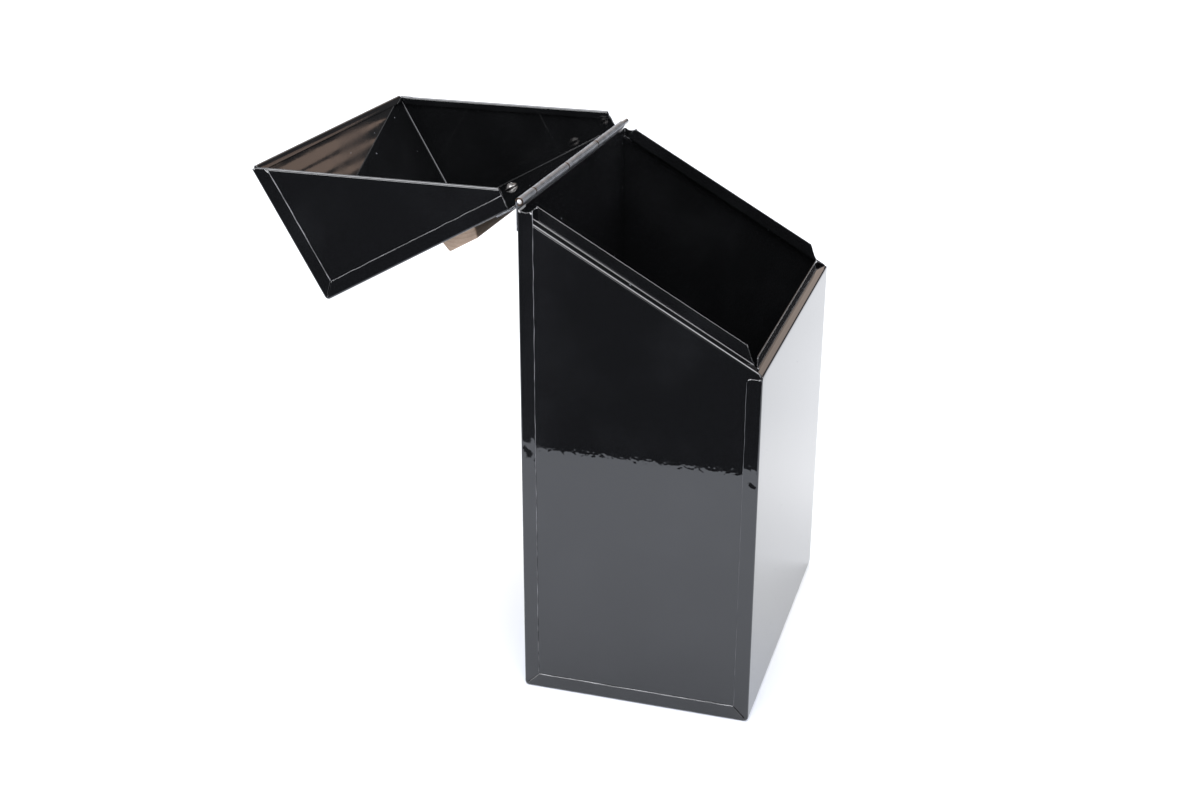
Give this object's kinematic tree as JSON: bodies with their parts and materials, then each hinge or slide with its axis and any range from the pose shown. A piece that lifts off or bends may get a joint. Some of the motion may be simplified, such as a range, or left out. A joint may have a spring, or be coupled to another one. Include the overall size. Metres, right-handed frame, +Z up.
{
  "type": "kindling box",
  "caption": "Black enamelled sheet-steel hearth box with a sloping mouth, a wedge-shaped lid on a strip hinge and a wooden bar handle.",
  "frame": {"origin": "centre of the underside of the box's bottom", "axes": "+X along the width and the hinge, -Y out of the low front, +Z up; the lid is stored thrown right back"},
  "size_m": [0.2106, 0.301, 0.3139],
  "materials": {
    "black_enamel": "thick high-gloss black enamel on sheet steel",
    "hinge_plating": "bright plated rolled steel strip",
    "pin_steel": "drawn steel wire, cut ends",
    "screw_plating": "bright zinc-plated screw",
    "handle_wood": "pale bare hardwood, lightly sanded"
  },
  "bodies": {
    "box": {"body_wrap": "black_enamel", "body_side_left": "black_enamel", "body_side_right": "black_enamel", "hinge_body_leaf": "hinge_plating", "hinge_pin": "pin_steel"},
    "lid": {"lid_wrap": "black_enamel", "lid_side_left": "black_enamel", "lid_side_right": "black_enamel", "hinge_lid_leaf": "hinge_plating", "handle_bar": "handle_wood", "handle_screw_left": "screw_plating", "handle_screw_right": "screw_plating"}
  },
  "joints": [
    {"name": "lid_hinge", "type": "hinge", "parent": "box", "child": "lid", "pos_m": [0, 0.06845, 0.30645], "axis": [1, 0, 0], "range_deg": [0, 209.3]}
  ]
}
